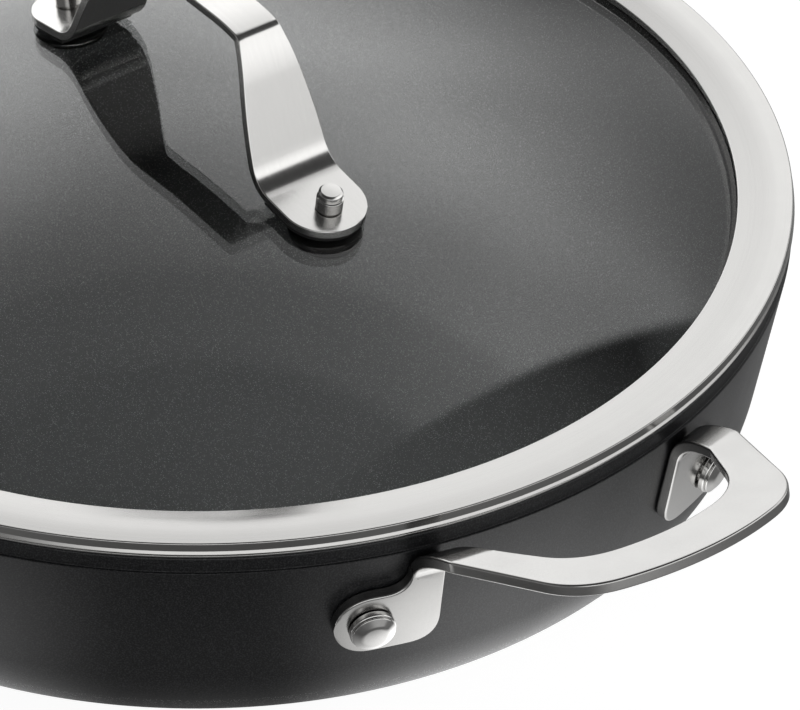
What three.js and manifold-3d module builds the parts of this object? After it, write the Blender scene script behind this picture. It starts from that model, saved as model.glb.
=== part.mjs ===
// A shallow two-handled pan with a domed glass lid, in millimetres, +Z up.
// The origin is the centre of the underside. The side handles and the lid's strap lie along X.
import * as THREE from "three";
import { mergeVertices } from "three/addons/utils/BufferGeometryUtils.js";
import Module from "manifold-3d";

const wasm = await Module();
wasm.setup();

const DEGREE = Math.PI / 180;
const CLEARANCE = 0.3; // between pieces that rest on each other or pass through a hole

// Pan body: forged aluminium.
const PAN_HEIGHT = 62.4;
const LEDGE_RADIUS = 141.5; // outside of the wall, where the rim band starts
const WALL_TAPER = 10.5 * DEGREE;
const WALL = 3.6;
const FLOOR = 5;
const CORNER_RADIUS = 29.1; // between wall and underside, outside
const RIM_BAND_HEIGHT = 4;
const RIM_BAND_STEP = 0.6;
const RIM_ROUND = 0.6;

// Steel disc pressed into the underside.
const DISC_RADIUS = 85;
const DISC_THICKNESS = 0.8;

// Side handle: one folded plate. Reaches are measured outwards from the ledge, drops down from the rim.
const HANDLE_PLATE = 3;
const HANDLE_EDGE_ROUND = 0.5;
const HANDLE_REACH = 49.5;
const HANDLE_BAR = 14;
const HANDLE_BOW_RADIUS = 74; // of the bar's front edge
const HANDLE_TILT = 14 * DEGREE;
const FOLD_REACH = 15.2;
const FOLD_RISE = 2.75; // of the fold's upper face above the rim
const LEG_OUTER_HALF_WIDTH = 41.7; // half the distance between the legs' outer edges, at the fold
const LEG_INNER_HALF_WIDTH = 31.4;
const LEG_OUTER_SPLAY = 16.5 * DEGREE;
const LEG_INNER_SPLAY = 22.8 * DEGREE;
const BAR_OUTER_HALF = 22; // half the bowed stretch of the bar's front edge
const BAR_INNER_HALF = 13;
const KNEE_DROP = 3.6;
const ARM_STRAIGHT = 0.85; // straight share of the arm from the fold to the knee
const TAB_TOP_DROP = 10.4;
const TAB_NEAR_EDGE = 33.4; // along the wall from the handle's middle
const TAB_STRIP = 8;
const TAB_CORNER = 7; // outside of the bend of the tab towards its rivet
const TAB_FILLET = 6; // inside of that bend
const TAB_LOBE_RADIUS = 8.8;

// Stud rivets of the side handles.
const RIVET_HALF_SPACING = 50.2; // along the wall from the handle's middle
const RIVET_DROP = 22.9;
const RIVET_SHANK_RADIUS = 4;
const RIVET_HEAD_RADIUS = 8;
const RIVET_HEAD = 1.8;
const RIVET_HEAD_GAP = 0.5; // the head is flat and the wall hollow
const RIVET_STUD_RADIUS = 5.5;
const RIVET_STUD_HEIGHT = 3.5;
const RIVET_COLLAR = 1.5;
const RIVET_GROOVE = 0.5;
const RIVET_CROWN = 0.9;

// Lid rim: formed stainless ring. Levels are measured from the seat on the pan's rim.
const RING_OVERHANG = 0.5; // of the outer edge beyond the ledge
const RING_WIDTH = 13.7;
const RING_HEIGHT = 4.6;
const RING_SHEET = 0.8;
const RING_CROWN = 0.2;
const RING_LIP_FALL = 0.6; // of the inner lip's top below the outer edge
const RING_LIP_DEPTH = 1.6;
const RING_WALL = 1.6; // height of the plain wall under the outer edge
const RING_BEAD = 1;
const RING_GROOVE = 1.4;
const RING_FOOT_INSET = 0.8;
const PLUG_DEPTH = 7.9;
const PLUG_CLEARANCE = 0.6;
const GLASS_FLANGE = 4;

// Lid glass: part of a sphere.
const GLASS = 4;
const GLASS_DOME_RADIUS = 340;
const GLASS_UNDER_RING = 6;

// Lid handle: one folded strap.
const STRAP = 2.2;
const STRAP_EDGE_ROUND = 0.4;
const STRAP_TOP_WIDTH = 11.8;
const STRAP_FOOT_WIDTH = 21;
const STRAP_RISE = 58.2; // of the top above the ring's outer edge
const STRAP_TOP_HALF = 24.8; // from the middle to where top and leg meet
const STRAP_FOOT = 14.7; // from the rivet to where leg and foot meet
const STRAP_TIP_SETBACK = 2.4; // of the centre of the foot's round tip behind the rivet
const STRAP_TOP_BEND = 4;
const STRAP_FOOT_BEND = 3.5;

// What holds the strap to the glass.
const STUD_SPACING = 103.6;
const STUD_RADIUS = 3.25;
const STUD_HEIGHT = 5.2;
const STUD_TIP_SHARE = 0.4;
const STUD_TIP_STEP = 0.35;
const STUD_CHAMFER = 0.5;
const STUD_HEAD_RADIUS = 5.5;
const STUD_HEAD = 1.6;
const SHANK_RADIUS = 2.6;
const PAD = 0.8;
const PAD_INSET = 0.4;
const SLEEVE_WALL = 0.9;
const HEAD_FACE_SHARE = 0.65; // flat middle of a rivet's head, of its radius
const HEAD_EDGE_SHARE = 0.35; // upright edge of a rivet's head, of its thickness
const WASHER = 1;
const WASHER_RADIUS = 9;
const BACKING = 1.2;
const BACKING_RADIUS = 8;

// Facets.
const ROUND_STEPS = 56; // round the pan and the lid
const SMALL_STEPS = 16; // round a rivet or a hole
const ARC_STEPS = 4;
const DOME_STEPS = 3;
const TIP_STEPS = 6;
const ARM_STEPS = 8;
const DRILL_LENGTH = 30; // longer than any hole
const LAST_TIP = 0.07; // share of a round tip's quarter that its flat end leaves out

const UP = new THREE.Vector3(0, 0, 1);
const ledgeHeight = PAN_HEIGHT - RIM_BAND_HEIGHT;
const ringTop = PAN_HEIGHT + RING_HEIGHT;
const ringOuterRadius = LEDGE_RADIUS + RING_OVERHANG;
const ringInnerRadius = ringOuterRadius - RING_WIDTH;

const dark = { color: 0x2b2c2e, roughness: 0.55, metalness: 0.6 };
const steel = { color: 0xc9cacb, roughness: 0.2, metalness: 1 };
const baseSteel = { color: 0x9a9b9c, roughness: 0.4, metalness: 1 };
const silicone = { color: 0x111112, roughness: 0.8, metalness: 0 };
const clear = { color: 0xdfe4e6, roughness: 0.03, metalness: 0, transparent: true, opacity: 0.3 };

// Joins and cuts.

function solid(geometry) {
  const bare = geometry.clone();
  bare.deleteAttribute("normal");
  bare.deleteAttribute("uv");
  const merged = mergeVertices(bare);
  const mesh = new wasm.Mesh({
    numProp: 3,
    vertProperties: new Float32Array(merged.attributes.position.array),
    triVerts: new Uint32Array(merged.index.array),
  });
  return new wasm.Manifold(mesh);
}

function geometryOf(made) {
  const mesh = made.getMesh();
  const geometry = new THREE.BufferGeometry();
  geometry.setAttribute("position", new THREE.BufferAttribute(mesh.vertProperties, 3));
  geometry.setIndex(new THREE.BufferAttribute(mesh.triVerts, 1));
  return geometry;
}

function cut(geometry, tools) {
  return geometryOf(tools.reduce((made, tool) => made.subtract(solid(tool)), solid(geometry)));
}

function piece(name, geometry, finish) {
  const mesh = new THREE.Mesh(geometry, new THREE.MeshStandardMaterial(finish));
  mesh.name = name;
  return mesh;
}

// Shapes that several pieces share.

// A profile of radius and height, turned about Z. It runs outwards below and back inwards above.
function turned(profile, steps) {
  return new THREE.LatheGeometry(profile, steps).rotateX(Math.PI / 2);
}

function point(radius, height) {
  return new THREE.Vector2(radius, height);
}

// A round bar along Z that cuts a hole.
function drill(radius) {
  return new THREE.CylinderGeometry(radius, radius, DRILL_LENGTH, SMALL_STEPS).rotateX(Math.PI / 2);
}

// A strip of plate through stations, each a pair of points on the two edges of its middle surface.
function strip(stations, thickness, edgeRound) {
  const centres = stations.map(([a, b]) => a.clone().lerp(b, 1 / 2));
  const last = stations.length - 1;
  const positions = [];
  stations.forEach(([a, b], i) => {
    const across = b.clone().sub(a);
    const half = across.length() / 2;
    across.normalize();
    const along = centres[Math.min(i + 1, last)].clone().sub(centres[Math.max(i - 1, 0)]);
    const normal = across.clone().cross(along).normalize();
    const round = Math.min(edgeRound, half / 2);
    const corners = [
      [half - round, thickness / 2],
      [half, thickness / 2 - round],
      [half, round - thickness / 2],
      [half - round, -thickness / 2],
      [round - half, -thickness / 2],
      [-half, round - thickness / 2],
      [-half, thickness / 2 - round],
      [round - half, thickness / 2],
    ];
    for (const [sideways, out] of corners) {
      const corner = centres[i].clone().addScaledVector(across, sideways).addScaledVector(normal, out);
      positions.push(corner.x, corner.y, corner.z);
    }
  });
  const sides = positions.length / stations.length / 3;
  const index = [];
  for (let i = 0; i < last; i++) {
    for (let k = 0; k < sides; k++) {
      const a = i * sides + k;
      const b = i * sides + ((k + 1) % sides);
      index.push(a, b, a + sides, b, b + sides, a + sides);
    }
  }
  for (let k = 1; k < sides - 1; k++) {
    index.push(0, k + 1, k);
    index.push(last * sides, last * sides + k, last * sides + k + 1);
  }
  const geometry = new THREE.BufferGeometry();
  geometry.setAttribute("position", new THREE.Float32BufferAttribute(positions, 3));
  return geometry.setIndex(index);
}

// The other half of a strip, mirrored by the sign given for each axis, then the half itself.
function wholeStrip(half, mirror) {
  const mirrored = half.slice(1).map((edges) => edges.map((p) => p.clone().multiply(mirror)));
  return [...mirrored.reverse(), ...half];
}

// Where two lines in a plane meet.
function crossing(from, along, to, back) {
  const turn = along.x * back.y - along.y * back.x;
  const gap = to.clone().sub(from);
  return from.clone().addScaledVector(along, (gap.x * back.y - gap.y * back.x) / turn);
}

// Pan body.

function wallRadius(height) {
  return LEDGE_RADIUS + (height - ledgeHeight) * Math.tan(WALL_TAPER);
}

function innerWallRadius(height) {
  return wallRadius(height) - WALL / Math.cos(WALL_TAPER);
}

// The foot of the wall: from the flat floor at its height, round the corner, to the start of the wall.
function bowlCorner(radiusAt, floorHeight, radius) {
  const middle = floorHeight + radius;
  const path = new THREE.Path();
  const centre = radiusAt(middle) - radius / Math.cos(WALL_TAPER);
  path.absarc(centre, middle, radius, -Math.PI / 2, -WALL_TAPER, false);
  return path.getPoints(ARC_STEPS);
}

function panBody() {
  const bandRadius = LEDGE_RADIUS - RIM_BAND_STEP;
  const mouth = innerWallRadius(PAN_HEIGHT);
  const recess = DISC_RADIUS + CLEARANCE;
  const profile = [
    point(0, DISC_THICKNESS),
    point(recess, DISC_THICKNESS),
    point(recess, 0),
    ...bowlCorner(wallRadius, 0, CORNER_RADIUS),
    point(LEDGE_RADIUS, ledgeHeight),
    point(bandRadius, ledgeHeight + RIM_BAND_STEP / 2),
    point(bandRadius, PAN_HEIGHT - RIM_ROUND),
    point(bandRadius - RIM_ROUND, PAN_HEIGHT),
    point(mouth + RIM_ROUND, PAN_HEIGHT),
    point(innerWallRadius(PAN_HEIGHT - RIM_ROUND), PAN_HEIGHT - RIM_ROUND),
    ...bowlCorner(innerWallRadius, FLOOR, CORNER_RADIUS - WALL).reverse(),
    point(0, FLOOR),
  ];
  const holes = rivetPlaces.map((place) => placedOnWall(rivetDrill(), place));
  return piece("pan_body", cut(turned(profile, ROUND_STEPS), holes), dark);
}

function baseDisc() {
  const profile = [
    point(0, 0),
    point(DISC_RADIUS, 0),
    point(DISC_RADIUS, DISC_THICKNESS),
    point(0, DISC_THICKNESS),
  ];
  return piece("base_disc", turned(profile, ROUND_STEPS), baseSteel);
}

// Side handles.

const rivetHeight = PAN_HEIGHT - RIVET_DROP;
const tabOffset = CLEARANCE + HANDLE_PLATE / 2; // from the wall to the tab's middle surface
const tabRadius = wallRadius(rivetHeight) + tabOffset;

// A point of the tab's middle surface: along the wall from the handle's middle, and a height.
function onTab(along, height) {
  const angle = along / tabRadius;
  const radius = wallRadius(height) + tabOffset / Math.cos(WALL_TAPER);
  return new THREE.Vector3(radius * Math.cos(angle), radius * Math.sin(angle), height);
}

// One edge of the loop in plan: the bowed bar, a round corner, and the leg to the fold.
function loopEdge(bowRadius, barHalf, fold, splay) {
  const centre = LEDGE_RADIUS + HANDLE_REACH - HANDLE_BOW_RADIUS;
  const turn = Math.asin(barHalf / bowRadius);
  const barEnd = point(centre + bowRadius * Math.cos(turn), barHalf);
  const outwards = point(Math.cos(splay), -Math.sin(splay));
  const corner = crossing(barEnd, point(-Math.sin(turn), Math.cos(turn)), fold, outwards);
  const legStart = corner.clone().addScaledVector(outwards, -corner.distanceTo(barEnd));
  const path = new THREE.Path();
  path.absarc(centre, 0, bowRadius, 0, turn, false);
  path.quadraticCurveTo(corner.x, corner.y, legStart.x, legStart.y);
  path.lineTo(fold.x, fold.y);
  return path.getPoints(ARC_STEPS);
}

// One edge of the tab, as distance along the wall and height: down the strip, round a bend, past the rivet.
function tabEdge(top, bendStart, bend, bendEnd, lobeFrom, lobeTo) {
  const path = new THREE.Path();
  path.moveTo(top.x, top.y);
  path.lineTo(bendStart.x, bendStart.y);
  path.quadraticCurveTo(bend.x, bend.y, bendEnd.x, bendEnd.y);
  path.absarc(RIVET_HALF_SPACING, rivetHeight, TAB_LOBE_RADIUS, lobeFrom, lobeTo, lobeTo < lobeFrom);
  return path.getPoints(ARC_STEPS);
}

// The fold lies at one radius from the pan's axis; the loop rises outwards from it.
function sideHandleStations() {
  const foldRadius = LEDGE_RADIUS + FOLD_REACH;
  const foldAt = (spread) => point(Math.sqrt(foldRadius ** 2 - spread ** 2), spread);
  const foldOuter = foldAt(LEG_OUTER_HALF_WIDTH);
  const foldInner = foldAt(LEG_INNER_HALF_WIDTH);
  const foldHeight = PAN_HEIGHT + FOLD_RISE - HANDLE_PLATE / 2 / Math.cos(HANDLE_TILT);
  const foldMiddle = (foldOuter.x + foldInner.x) / 2;
  const onLoop = (p) =>
    new THREE.Vector3(p.x, p.y, foldHeight + (p.x - foldMiddle) * Math.tan(HANDLE_TILT));
  const inner = loopEdge(HANDLE_BOW_RADIUS - HANDLE_BAR, BAR_INNER_HALF, foldInner, LEG_INNER_SPLAY);
  const outer = loopEdge(HANDLE_BOW_RADIUS, BAR_OUTER_HALF, foldOuter, LEG_OUTER_SPLAY);
  const loop = inner.map((p, i) => [onLoop(p), onLoop(outer[i])]);

  const tabTop = PAN_HEIGHT - TAB_TOP_DROP;
  const farEdge = TAB_NEAR_EDGE + TAB_STRIP;
  const lobeBottom = rivetHeight - TAB_LOBE_RADIUS;
  const lobeTop = rivetHeight + TAB_LOBE_RADIUS;
  const tip = (Math.PI / 2) * LAST_TIP;
  const nearEdge = tabEdge(
    point(TAB_NEAR_EDGE, tabTop),
    point(TAB_NEAR_EDGE, lobeBottom + TAB_CORNER),
    point(TAB_NEAR_EDGE, lobeBottom),
    point(TAB_NEAR_EDGE + TAB_CORNER, lobeBottom),
    -Math.PI / 2,
    -tip,
  );
  const outsideEdge = tabEdge(
    point(farEdge, tabTop),
    point(farEdge, lobeTop + TAB_FILLET),
    point(farEdge, lobeTop),
    point(farEdge + TAB_FILLET, lobeTop),
    Math.PI / 2,
    tip,
  );
  const onWall = (p) => onTab(p.x, p.y);
  const tab = nearEdge.map((p, i) => [onWall(p), onWall(outsideEdge[i])]);

  const [foldStation] = loop.slice(-1);
  const knees = [TAB_NEAR_EDGE, farEdge].map((along) => onTab(along, PAN_HEIGHT - KNEE_DROP));
  const arms = foldStation.map((from, side) => armEdge(from, knees[side], tab[0][side]));
  const arm = arms[0].map((p, i) => [p, arms[1][i]]).slice(1, -1);
  return [...loop, ...arm, ...tab];
}

// From the fold almost straight to the knee, and round it on to the top of the tab.
function armEdge(fold, knee, tabTop) {
  const beforeKnee = fold.clone().lerp(knee, ARM_STRAIGHT);
  const afterKnee = tabTop.clone().lerp(knee, 1 / 2);
  return new THREE.CubicBezierCurve3(fold, beforeKnee, afterKnee, tabTop).getPoints(ARM_STEPS);
}

function sideHandle(name, turn) {
  const whole = wholeStrip(sideHandleStations(), new THREE.Vector3(1, -1, 1));
  const holes = rivetPlaces.slice(0, 2).map((place) => placedOnWall(rivetDrill(), place));
  const mesh = piece(name, cut(strip(whole, HANDLE_PLATE, HANDLE_EDGE_ROUND), holes), steel);
  mesh.rotation.z = turn;
  return mesh;
}

// Stud rivets: the first two hold the right handle, the others the left one.

const rivetAngle = RIVET_HALF_SPACING / tabRadius;
const rivetPlaces = [-rivetAngle, rivetAngle, Math.PI - rivetAngle, Math.PI + rivetAngle];
const rivetNames = ["right_front", "right_back", "left_back", "left_front"];

// Turns a thing made along Z to point out of the wall, with its origin on the wall's outside.
function wallFrame(angle) {
  const radius = wallRadius(rivetHeight);
  const level = Math.cos(WALL_TAPER);
  const out = new THREE.Vector3(level * Math.cos(angle), level * Math.sin(angle), -Math.sin(WALL_TAPER));
  const place = new THREE.Vector3(radius * Math.cos(angle), radius * Math.sin(angle), rivetHeight);
  return { place, turn: new THREE.Quaternion().setFromUnitVectors(UP, out) };
}

function placedOnWall(geometry, angle) {
  const { place, turn } = wallFrame(angle);
  return geometry.applyQuaternion(turn).translate(place.x, place.y, place.z);
}

function rivetDrill() {
  return drill(RIVET_SHANK_RADIUS + CLEARANCE);
}

function sideRivet(name, angle) {
  const headTop = -WALL - RIVET_HEAD_GAP;
  const base = tabOffset + HANDLE_PLATE / 2 + CLEARANCE;
  const top = base + RIVET_STUD_HEIGHT;
  const shoulder = base + RIVET_COLLAR;
  const neck = RIVET_STUD_RADIUS - RIVET_GROOVE;
  const profile = [
    point(0, headTop - RIVET_HEAD),
    point(RIVET_HEAD_RADIUS * HEAD_FACE_SHARE, headTop - RIVET_HEAD),
    point(RIVET_HEAD_RADIUS, headTop - RIVET_HEAD * HEAD_EDGE_SHARE),
    point(RIVET_HEAD_RADIUS, headTop),
    point(RIVET_SHANK_RADIUS, headTop),
    point(RIVET_SHANK_RADIUS, base),
    point(RIVET_STUD_RADIUS, base),
    point(RIVET_STUD_RADIUS, shoulder),
    point(neck, shoulder + RIVET_GROOVE / 2),
    point(RIVET_STUD_RADIUS - RIVET_GROOVE / 3, shoulder + RIVET_GROOVE),
    point(RIVET_STUD_RADIUS - RIVET_GROOVE / 3, top - RIVET_CROWN),
    point(neck - RIVET_CROWN / 2, top - RIVET_CROWN / 3),
    point(0, top),
  ];
  const mesh = piece(name, turned(profile, SMALL_STEPS), steel);
  const { place, turn } = wallFrame(angle);
  mesh.position.copy(place);
  mesh.quaternion.copy(turn);
  return mesh;
}

// Lid glass.

const lipBottom = ringTop - RING_LIP_FALL - RING_LIP_DEPTH;
const lipMiddle = ringInnerRadius + RING_SHEET / 2;
const domeCentre = lipBottom - CLEARANCE - Math.sqrt(GLASS_DOME_RADIUS ** 2 - lipMiddle ** 2);
const glassEdgeRadius = ringInnerRadius + GLASS_UNDER_RING;

function glassHeight(radius, sphere) {
  return domeCentre + Math.sqrt(sphere ** 2 - radius ** 2);
}

function lidGlass() {
  const under = GLASS_DOME_RADIUS - GLASS;
  const edge = Math.PI / 2 - Math.asin(glassEdgeRadius / GLASS_DOME_RADIUS);
  const path = new THREE.Path();
  path.absarc(0, domeCentre, under, Math.PI / 2, edge, true);
  path.absarc(0, domeCentre, GLASS_DOME_RADIUS, edge, Math.PI / 2, false);
  const holes = studSides.map((side) => placedOnGlass(drill(glassHoleRadius), side));
  return piece("lid_glass", cut(turned(path.getPoints(DOME_STEPS), ROUND_STEPS), holes), clear);
}

// Lid rim: over the glass, down the outside, in along the seat, down into the pan and back under the glass.
function lidRim() {
  const seat = PAN_HEIGHT;
  const face = ringTop - RING_SHEET;
  const foot = ringOuterRadius - RING_FOOT_INSET;
  const beadTop = ringTop - RING_WALL;
  const beadBottom = beadTop - RING_BEAD;
  const plugBottom = seat - PLUG_DEPTH;
  const plug = innerWallRadius(plugBottom) - PLUG_CLEARANCE;
  const plugInside = plug - 2 * RING_SHEET;
  const flangeTip = plugInside - GLASS_FLANGE;
  const underGlass = (radius) => glassHeight(radius, GLASS_DOME_RADIUS - GLASS) - CLEARANCE;
  const lipTop = ringTop - RING_LIP_FALL;
  const lip = ringInnerRadius + RING_SHEET;
  const profile = [
    point(ringInnerRadius, lipBottom),
    point(lip, lipBottom),
    point(lip, lipTop - RING_SHEET),
    point(ringOuterRadius - RING_SHEET, face),
    point(ringOuterRadius - RING_GROOVE - RING_SHEET, seat + RING_SHEET),
    point(plugInside, seat + RING_SHEET),
    point(plugInside, underGlass(plugInside)),
    point(flangeTip, underGlass(flangeTip)),
    point(flangeTip, underGlass(flangeTip) - RING_SHEET),
    point(plugInside, underGlass(plugInside) - RING_SHEET),
    point(plugInside, plugBottom + RING_SHEET / 2),
    point(plug - RING_SHEET, plugBottom),
    point(plug, plugBottom + RING_SHEET),
    point(plug, seat),
    point(foot, seat),
    point(foot, seat + RING_SHEET / 2),
    point(ringOuterRadius - RING_GROOVE, (seat + beadBottom + RING_SHEET / 2) / 2),
    point(ringOuterRadius, beadBottom),
    point(ringOuterRadius + RING_SHEET / 4, (beadTop + beadBottom) / 2),
    point(ringOuterRadius, beadTop),
    point(ringOuterRadius, ringTop - RING_SHEET / 2),
    point(ringOuterRadius - RING_SHEET / 2, ringTop),
    point((ringInnerRadius + ringOuterRadius) / 2, ringTop + RING_CROWN - RING_LIP_FALL / 2),
    point(lip, lipTop),
    point(ringInnerRadius + RING_SHEET / 3, lipTop),
    point(ringInnerRadius, lipTop - RING_SHEET / 2),
    point(ringInnerRadius, lipBottom),
  ];
  return piece("lid_rim", turned(profile, ROUND_STEPS), steel);
}

// Lid handle and what holds it, square to the glass at each stud.

const studSides = [1, -1];
const studSideNames = ["right", "left"];
const studReach = STUD_SPACING / 2;
const studHeight = glassHeight(studReach, GLASS_DOME_RADIUS);
const glassSlope = Math.asin(studReach / GLASS_DOME_RADIUS);
const shankHoleRadius = SHANK_RADIUS + CLEARANCE;
const glassHoleRadius = shankHoleRadius + SLEEVE_WALL + CLEARANCE;
const padBottom = CLEARANCE;
const footBottom = padBottom + PAD + CLEARANCE;
const footTop = footBottom + STRAP;

// Sets a thing made along Z on the glass at a stud, its X pointing outwards.
function studMatrix(side) {
  const turn = new THREE.Matrix4().makeRotationY(glassSlope);
  const place = new THREE.Matrix4().makeTranslation(studReach, 0, studHeight);
  const half = new THREE.Matrix4().makeRotationZ(side > 0 ? 0 : Math.PI);
  return half.multiply(place).multiply(turn);
}

function placedOnGlass(geometry, side) {
  return geometry.applyMatrix4(studMatrix(side));
}

function onGlass(name, geometry, finish, side) {
  const mesh = piece(name, geometry, finish);
  mesh.applyMatrix4(studMatrix(side));
  return mesh;
}

// Half of the strap from its middle to the tip of a foot.
function strapStations() {
  const out = point(Math.cos(glassSlope), -Math.sin(glassSlope));
  const off = point(Math.sin(glassSlope), Math.cos(glassSlope));
  const stud = point(studReach, studHeight).addScaledVector(off, footBottom + STRAP / 2);
  const topHeight = ringTop + STRAP_RISE - STRAP / 2;
  const corners = [
    point(0, topHeight),
    point(STRAP_TOP_HALF, topHeight),
    stud.clone().addScaledVector(out, -STRAP_FOOT),
    stud.clone().addScaledVector(out, -STRAP_TIP_SETBACK),
  ];
  const [tipCentre] = corners.slice(-1);
  const bends = [STRAP_TOP_BEND, STRAP_FOOT_BEND];
  const path = new THREE.Path().moveTo(corners[0].x, corners[0].y);
  bends.forEach((bend, i) => {
    const [from, corner, to] = corners.slice(i, i + 3);
    const before = corner.clone().addScaledVector(from.clone().sub(corner).normalize(), bend);
    const after = corner.clone().addScaledVector(to.clone().sub(corner).normalize(), bend);
    path.lineTo(before.x, before.y);
    path.quadraticCurveTo(corner.x, corner.y, after.x, after.y);
  });
  path.lineTo(tipCentre.x, tipCentre.y);
  const topHalf = STRAP_TOP_WIDTH / 2;
  const footHalf = STRAP_FOOT_WIDTH / 2;
  const legFoot = corners[2].y;
  const halfWidth = (p) => {
    const down = THREE.MathUtils.clamp((topHeight - p.y) / (topHeight - legFoot), 0, 1);
    return THREE.MathUtils.lerp(topHalf, footHalf, down);
  };
  const station = (p, half) => [new THREE.Vector3(p.x, half, p.y), new THREE.Vector3(p.x, -half, p.y)];
  const straight = path.getPoints(ARC_STEPS).map((p) => station(p, halfWidth(p)));
  const tip = Array.from({ length: TIP_STEPS }, (_, i) => {
    const turn = (Math.PI / 2) * (1 - LAST_TIP) * ((i + 1) / TIP_STEPS);
    const p = tipCentre.clone().addScaledVector(out, footHalf * Math.sin(turn));
    return station(p, footHalf * Math.cos(turn));
  });
  return [...straight, ...tip];
}

function lidHandle() {
  const whole = wholeStrip(strapStations(), new THREE.Vector3(-1, 1, 1));
  const holes = studSides.map((side) => placedOnGlass(drill(shankHoleRadius), side));
  return piece("lid_handle", cut(strip(whole, STRAP, STRAP_EDGE_ROUND), holes), steel);
}

function lidRivet(name, side) {
  const backing = -GLASS - 4 * CLEARANCE - WASHER - BACKING;
  const base = footTop + CLEARANCE;
  const top = base + STUD_HEIGHT;
  const step = top - STUD_HEIGHT * STUD_TIP_SHARE;
  const tipRadius = STUD_RADIUS - STUD_TIP_STEP;
  const profile = [
    point(0, backing - STUD_HEAD),
    point(STUD_HEAD_RADIUS * HEAD_FACE_SHARE, backing - STUD_HEAD),
    point(STUD_HEAD_RADIUS, backing - STUD_HEAD * HEAD_EDGE_SHARE),
    point(STUD_HEAD_RADIUS, backing),
    point(SHANK_RADIUS, backing),
    point(SHANK_RADIUS, base),
    point(STUD_RADIUS, base),
    point(STUD_RADIUS, step),
    point(tipRadius, step + STUD_TIP_STEP / 2),
    point(tipRadius, top - STUD_CHAMFER),
    point(tipRadius - STUD_CHAMFER, top),
    point(0, top),
  ];
  return onGlass(name, turned(profile, SMALL_STEPS), steel, side);
}

// A flat ring round the shank, its top at the given level.
function shankRing(radius, top, thickness) {
  const profile = [
    point(shankHoleRadius, top - thickness),
    point(radius, top - thickness),
    point(radius, top),
    point(shankHoleRadius, top),
    point(shankHoleRadius, top - thickness),
  ];
  return turned(profile, SMALL_STEPS);
}

// A tongue under the foot, and a sleeve that lines the hole in the glass.
function lidPad(name, side) {
  const half = STRAP_FOOT_WIDTH / 2 - PAD_INSET;
  const heel = -(STRAP_FOOT - 2 * STRAP_FOOT_BEND);
  const outline = new THREE.Shape();
  outline.moveTo(heel, -half);
  outline.lineTo(-STRAP_TIP_SETBACK, -half);
  outline.absarc(-STRAP_TIP_SETBACK, 0, half, -Math.PI / 2, Math.PI / 2, false);
  outline.lineTo(heel, half);
  outline.closePath();
  const tongue = new THREE.ExtrudeGeometry(outline, {
    depth: PAD,
    bevelEnabled: false,
    curveSegments: SMALL_STEPS / 4,
  });
  const sleeve = shankRing(shankHoleRadius + SLEEVE_WALL, padBottom + PAD / 2, GLASS);
  const hole = drill(shankHoleRadius);
  const whole = solid(tongue.translate(0, 0, padBottom)).subtract(solid(hole)).add(solid(sleeve));
  return onGlass(name, geometryOf(whole), silicone, side);
}

function lidWasher(name, side) {
  return onGlass(name, shankRing(WASHER_RADIUS, -GLASS - 2 * CLEARANCE, WASHER), silicone, side);
}

function lidBacking(name, side) {
  const top = -GLASS - 3 * CLEARANCE - WASHER;
  return onGlass(name, shankRing(BACKING_RADIUS, top, BACKING), steel, side);
}

// Assembly.

const pan = new THREE.Group();
pan.add(panBody(), baseDisc());
pan.add(sideHandle("side_handle_right", 0), sideHandle("side_handle_left", Math.PI));
rivetPlaces.forEach((angle, i) => pan.add(sideRivet("side_rivet_" + rivetNames[i], angle)));

const lid = new THREE.Group();
lid.add(lidGlass(), lidRim(), lidHandle());
studSides.forEach((side, i) => {
  const end = studSideNames[i];
  lid.add(lidRivet("lid_rivet_" + end, side), lidPad("lid_pad_" + end, side));
  lid.add(lidWasher("lid_washer_" + end, side), lidBacking("lid_backing_" + end, side));
});

const assembly = new THREE.Group();
assembly.add(pan, lid);

export default assembly;
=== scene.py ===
import math

import bmesh
import bpy
from mathutils import Matrix, Vector
from mathutils.geometry import intersect_line_line


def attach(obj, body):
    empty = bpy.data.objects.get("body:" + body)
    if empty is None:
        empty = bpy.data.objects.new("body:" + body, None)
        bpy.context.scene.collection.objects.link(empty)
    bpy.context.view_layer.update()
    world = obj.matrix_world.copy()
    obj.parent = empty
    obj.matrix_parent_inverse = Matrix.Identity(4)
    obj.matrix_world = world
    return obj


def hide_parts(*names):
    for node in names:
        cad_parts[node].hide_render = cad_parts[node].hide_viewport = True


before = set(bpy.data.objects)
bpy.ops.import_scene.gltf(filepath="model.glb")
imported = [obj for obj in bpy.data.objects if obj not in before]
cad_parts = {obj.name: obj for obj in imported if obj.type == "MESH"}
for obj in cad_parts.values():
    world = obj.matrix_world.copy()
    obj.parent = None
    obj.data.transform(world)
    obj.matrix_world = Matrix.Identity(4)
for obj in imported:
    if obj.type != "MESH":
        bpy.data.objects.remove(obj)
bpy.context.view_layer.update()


# The view: the pan is seen close up from its right front, and the picture's edges crop it.
# A long lens stands about two metres away, looks down and leans by less than a degree.
VIEW_TURN = math.radians(51.6)
VIEW_DROP = 0.6329025
VIEW_LEAN = 0.0151593
VIEW_PLACE = Vector((1.39886, -1.04644, 1.29780))
VIEW_LENS = 405
VIEW_SENSOR = 36

view = bpy.data.cameras.new("view")
view.sensor_width = VIEW_SENSOR
view.lens = VIEW_LENS
view_stand = bpy.data.objects.new("view", view)
bpy.context.scene.collection.objects.link(view_stand)
view_stand.matrix_world = (
    Matrix.Translation(VIEW_PLACE)
    @ Matrix.Rotation(VIEW_TURN, 4, "Z")
    @ Matrix.Rotation(math.pi / 2 - VIEW_DROP, 4, "X")
    @ Matrix.Rotation(VIEW_LEAN, 4, "Z")
)
bpy.context.scene.camera = view_stand
bpy.context.scene.view_settings.view_transform = "Standard"


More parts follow.
